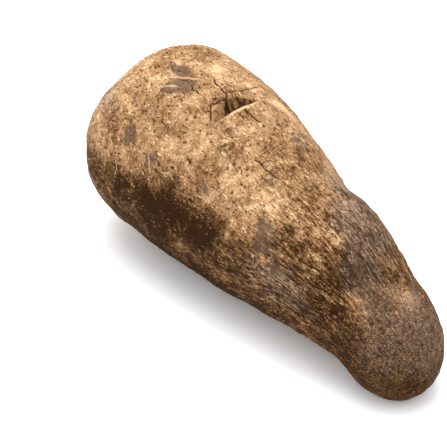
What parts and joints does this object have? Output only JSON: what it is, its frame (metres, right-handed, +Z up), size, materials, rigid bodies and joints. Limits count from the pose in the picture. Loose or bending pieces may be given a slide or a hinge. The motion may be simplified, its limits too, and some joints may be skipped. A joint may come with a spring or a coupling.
{
  "type": "white yam tuber",
  "caption": "Whole white yam tuber with rough tan-brown skin, a thick blunt crown, an open fold on its top and a bulbous narrow tip, lying on its belly.",
  "frame": {"origin": "on the resting surface, under the middle of the tuber's box", "axes": "+X along the tuber from the thick crown to the tip, +Z up, +Y across"},
  "size_m": [0.288, 0.125, 0.1273],
  "materials": {
    "yam_skin": "rough dry corky skin, matte"
  },
  "bodies": {
    "root": {"tuber": "yam_skin"}
  },
  "joints": []
}
